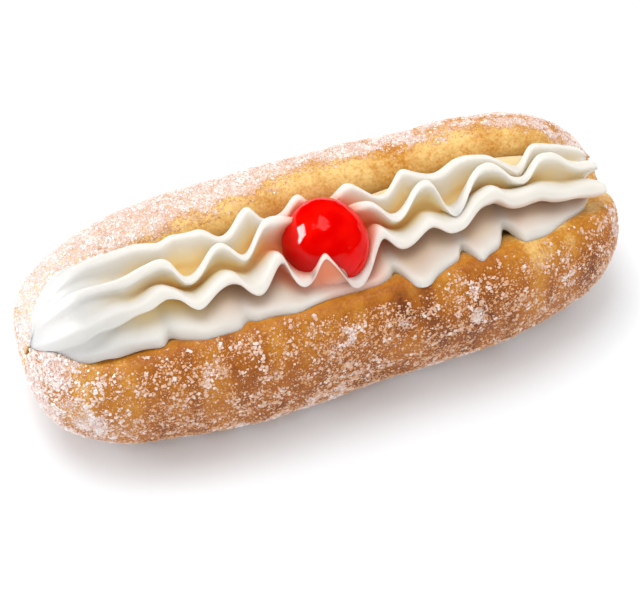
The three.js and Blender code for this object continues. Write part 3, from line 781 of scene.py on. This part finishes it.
# The front fin folds up round the cherry: its rim and what hangs from it, then the face below the rim
fold_rim = np.argmin(np.abs(fin + 1))
down = -np.degrees(cream_angle)
hangs = smoothstep(down, 23, 29) * (1 - smoothstep(down, 34, 60))
lift = onto_cherry(cream_rings[:, fold_rim], RIM_CLEAR)[:, None] * hangs
below_rim = smoothstep(down, 30, 34) * (1 - smoothstep(down, 66, 76))
under_fold = 1 - smoothstep(cream_along, 0.0, 1.6)
lift = np.maximum(lift, onto_cherry(cream_rings, FACE_CLEAR) * below_rim * under_fold)
cream_rings = cream_rings + LAP * lift[..., None]

first_pole = to_part(CREAM_START, 0.0, rope_height(CREAM_START))
end_across = -END_SHIFT * near_end(CREAM_END_MIDDLE)
last_pole = to_part(CREAM_END_MIDDLE, end_across, rope_height(CREAM_END_MIDDLE))
cream = closed_piece("piped_cream", cream_rings, first_pole, last_pole)
# Pink near the cherry is partly syrup stain and partly painted red light from the cherry: close on the rims,
# further along the grooves, and on the skirt below it.
RIM_STAIN_AND_GLOW, GROOVE_STAIN_AND_GLOW, SKIRT_STAIN_AND_GLOW = 2.2, 7.0, 0.5
beside_cherry = np.linalg.norm(cream_rings - cherry_centre, axis=-1) - CHERRY_RADIUS
in_groove = np.clip(groove / GROOVE_DEPTH, 0, 1)
spread = between(RIM_STAIN_AND_GLOW, GROOVE_STAIN_AND_GLOW, in_groove)
stain_and_glow = np.exp(-np.maximum(0, beside_cherry) / spread) * between(0.72, 1, in_groove)
# Painted shade: a brownish band on the skirt below the front fin.
skirt = smoothstep(down, 31, 38) * (1 - smoothstep(down, 50, 65))
below_cherry = np.exp(-(((cream_along - 1.5) / 10) ** 4))
below_cherry = below_cherry * smoothstep(down, 31, 38) * (1 - smoothstep(down, 75, 95))
stain_and_glow = np.maximum(stain_and_glow, SKIRT_STAIN_AND_GLOW * below_cherry)
paint(cream, "groove", np.append(in_groove, [0, 0]))
paint(cream, "syrup", np.append(stain_and_glow, [0, 0]))
# Painted shade: the cream's white is painted greyer towards its left end.
paint(cream, "start", np.append(1 - smoothstep(cream_along, -72, -34), [1, 0]))
paint(cream, "skirt", np.append(0.9 * skirt * smoothstep(cream_along, -44, -24), [0, 0]))

# The second white is painted shade for the cream's left end.
WHITE, START_PAINTED_SHADE_WHITE = (0.70, 0.675, 0.625, 1), (0.58, 0.575, 0.565, 1)
# Painted shade: the warm colours in the grooves and the brownish one on the skirt.
GROOVE_PAINTED_SHADE, DEEP_GROOVE_PAINTED_SHADE, SKIRT_PAINTED_SHADE = (0.84, 0.67, 0.33, 1), (0.76, 0.52, 0.17, 1), (0.50, 0.345, 0.26, 1)
# The pink of the syrup stain and of the painted red light from the cherry.
SYRUP_AND_GLOW_PINK = (0.88, 0.20, 0.07, 1)
whip, shader = new_material(cream, "whipped_cream")
# Painted shade: the grooves are painted a warm yellow-tan, deepest at their floors.
warm = rise(whip, attribute(whip, "groove"), 0.1, 1.0)
warm = math(whip, "MULTIPLY", warm, rise(whip, noise(whip, 9.0), 0.1, 0.6))
white = mixed(whip, attribute(whip, "start"), WHITE, START_PAINTED_SHADE_WHITE)
ivory_and_painted_shade = mixed(whip, warm, white, GROOVE_PAINTED_SHADE)
deepest_groove_shade = rise(whip, attribute(whip, "groove"), 0.7, 1.0, 0.7)
ivory_and_painted_shade = mixed(whip, deepest_groove_shade, ivory_and_painted_shade, DEEP_GROOVE_PAINTED_SHADE)
# Painted shade on the skirt.
ivory_and_painted_shade = mixed(whip, attribute(whip, "skirt"), ivory_and_painted_shade, SKIRT_PAINTED_SHADE)
# Partly syrup stain, partly painted red light from the cherry.
stain_and_glow_share = rise(whip, attribute(whip, "syrup"), 0.12, 1.0, 0.9)
colour = mixed(whip, stain_and_glow_share, ivory_and_painted_shade, SYRUP_AND_GLOW_PINK)
fine = noise(whip, 1.4, 2.0)
bump = node(whip, "ShaderNodeBump", {"Height": fine, "Strength": 0.12, "Distance": 0.0003})
join(
    whip,
    shader,
    {
        "Base Color": colour,
        "Roughness": math(whip, "MULTIPLY_ADD", fine, 0.2, 0.38),
        "Specular IOR Level": 0.25,
        "Normal": bump.outputs["Normal"],
        "Subsurface Weight": 0.8,
        "Subsurface Radius": (1.0, 0.95, 0.85),
        "Subsurface Scale": 0.0045,
    },
)
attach(cream, "root")
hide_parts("cream")


# Floor, light and camera
# A plain white studio table in even light, with a soft lamp overhead, a small one low at the left and one
# beside it that only gives highlights. The camera looks down on the bun from the front left.
REACH = 3.0
TABLE_WHITE, TABLE_PALER = (0.87, 0.91, 0.945, 1), (0.89, 0.93, 0.965, 1)
floor_mesh = bpy.data.meshes.new("floor")
corners = [(-REACH, -REACH, 0), (REACH, -REACH, 0), (REACH, REACH, 0), (-REACH, REACH, 0)]
floor_mesh.from_pydata(corners, [], [(0, 1, 2, 3)])
floor = bpy.data.objects.new("floor", floor_mesh)
bpy.context.scene.collection.objects.link(floor)
table, shader = new_material(floor, "white_table")
pale = rise(table, noise(table, 400.0), 0.2, 0.8)
colour = mixed(table, pale, TABLE_WHITE, TABLE_PALER)
join(table, shader, {"Base Color": colour, "Roughness": 0.7})

scene = bpy.context.scene
world = bpy.data.worlds.new("studio")
scene.world = world
world.use_nodes = True
world.node_tree.nodes["Background"].inputs["Color"].default_value = (1.0, 0.99, 0.98, 1)
world.node_tree.nodes["Background"].inputs["Strength"].default_value = 1.0
world.cycles_visibility.glossy = False
scene.view_settings.view_transform = "Standard"


def aimed(thing, place, target):
    """Puts a light or the camera at a place and turns its own -Z towards the target, with Y upwards."""
    back = np.subtract(place, target) / np.linalg.norm(np.subtract(place, target))
    right = np.cross((0, 0, 1), back)
    right = right / np.linalg.norm(right)
    upward = np.cross(back, right)
    thing.matrix_world = Matrix.Translation(place) @ Matrix(np.stack([right, upward, back], axis=1)).to_4x4()
    scene.collection.objects.link(thing)


def softbox(name, place, width, height, power):
    """A soft rectangular lamp that looks at the bun."""
    lamp = bpy.data.lights.new(name, "AREA")
    lamp.shape = "RECTANGLE"
    lamp.size, lamp.size_y, lamp.energy = width, height, power
    box = bpy.data.objects.new(name, lamp)
    aimed(box, place, (0, 0, 0.02))
    return box


softbox("overhead_light", (-0.08, 0.12, 0.85), width=0.50, height=0.50, power=3.0)
softbox("side_light", (-0.75, 0.42, 0.27), width=0.40, height=0.40, power=1.4)
glint_light = softbox("glint_light", (-0.77, 0.40, 0.29), width=0.45, height=0.45, power=24.0)
glint_light.visible_diffuse = False

CAMERA_AZIMUTH, CAMERA_ELEVATION, CAMERA_DISTANCE = np.radians(-21.5), np.radians(50), 0.590
target = np.array([-0.0002, 0.0, 0.0121])
outwards = np.array(
    [
        np.sin(CAMERA_AZIMUTH) * np.cos(CAMERA_ELEVATION),
        -np.cos(CAMERA_AZIMUTH) * np.cos(CAMERA_ELEVATION),
        np.sin(CAMERA_ELEVATION),
    ]
)
lens = bpy.data.cameras.new("camera")
lens.lens, lens.sensor_width, lens.sensor_fit = 135, 36, "HORIZONTAL"
lens.clip_start = 0.01
camera = bpy.data.objects.new("camera", lens)
aimed(camera, target + CAMERA_DISTANCE * outwards, target)
scene.camera = camera

bpy.context.view_layer.update()
